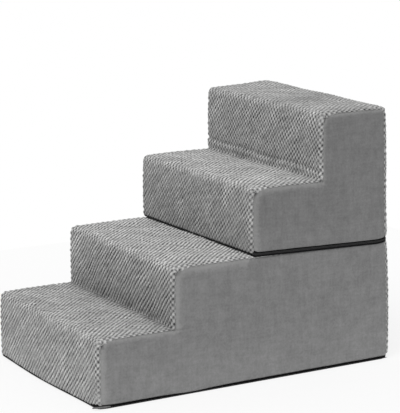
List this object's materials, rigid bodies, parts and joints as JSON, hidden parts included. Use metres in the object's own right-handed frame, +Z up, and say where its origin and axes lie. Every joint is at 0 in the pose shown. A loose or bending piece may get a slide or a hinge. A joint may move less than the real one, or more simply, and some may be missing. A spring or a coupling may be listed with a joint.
{
  "type": "pet stairs",
  "caption": "Foam pet stairs in two stacking sections, with bubble-textured treads, smooth side panels, zipped covers and a grip base.",
  "frame": {"origin": "bottom centre of the assembled stairs, on the floor", "axes": "+Z up, +Y from the first step to the back, +X to the right seen from the front"},
  "size_m": [0.474, 0.7361, 0.5709],
  "materials": {
    "foam": "open-cell polyurethane foam",
    "bubble_plush": "embossed plush",
    "side_velour": "short smooth velour",
    "grip_base": "woven with grip dots",
    "zip_tape": "woven tape",
    "zip_coil": "nylon coil",
    "zip_metal": "black enamel",
    "loop_tape": "loop pile",
    "hook_tape": "hooks"
  },
  "bodies": {
    "lower_section": {"lower_base_foam": "foam", "lower_tread_pad_front": "foam", "lower_riser_foam": "foam", "lower_tread_pad_rear": "foam", "lower_tread_cover": "bubble_plush", "lower_side_cover_left": "side_velour", "lower_side_cover_right": "side_velour", "lower_base_panel": "grip_base", "lower_zipper_tape_top": "zip_tape", "lower_zipper_tape_base": "zip_tape", "lower_zipper_coil": "zip_coil", "lower_zipper_stops": "zip_metal", "lower_loop_strips": "loop_tape"},
    "upper_section": {"upper_base_foam": "foam", "upper_tread_pad_front": "foam", "upper_riser_foam": "foam", "upper_tread_pad_rear": "foam", "upper_tread_cover": "bubble_plush", "upper_side_cover_left": "side_velour", "upper_side_cover_right": "side_velour", "upper_base_panel": "grip_base", "upper_zipper_tape_top": "zip_tape", "upper_zipper_tape_base": "zip_tape", "upper_zipper_coil": "zip_coil", "upper_zipper_stops": "zip_metal", "upper_hook_strips": "hook_tape"},
    "lower_zip_slider": {"lower_zipper_slider": "zip_metal"},
    "lower_zip_pull": {"lower_zipper_pull": "zip_metal"},
    "upper_zip_slider": {"upper_zipper_slider": "zip_metal"},
    "upper_zip_pull": {"upper_zipper_pull": "zip_metal"}
  },
  "joints": [
    {"name": "upper_section_lift", "type": "slide", "parent": "lower_section", "child": "upper_section", "axis": [0, 0, 1], "range_m": [0, 0.35]},
    {"name": "lower_zip_travel", "type": "slide", "parent": "lower_section", "child": "lower_zip_slider", "axis": [0, 1, 0], "range_m": [0, 0.68]},
    {"name": "lower_pull_flip", "type": "hinge", "parent": "lower_zip_slider", "child": "lower_zip_pull", "pos_m": [-0.23365, -0.34725, 0.0068], "axis": [0, 0, 1], "range_deg": [0, 150]},
    {"name": "upper_zip_travel", "type": "slide", "parent": "upper_section", "child": "upper_zip_slider", "axis": [0, 1, 0], "range_m": [0, 0.3]},
    {"name": "upper_pull_flip", "type": "hinge", "parent": "upper_zip_slider", "child": "upper_zip_pull", "pos_m": [-0.23365, 0.01975, 0.287], "axis": [0, 0, 1], "range_deg": [0, 150]}
  ]
}
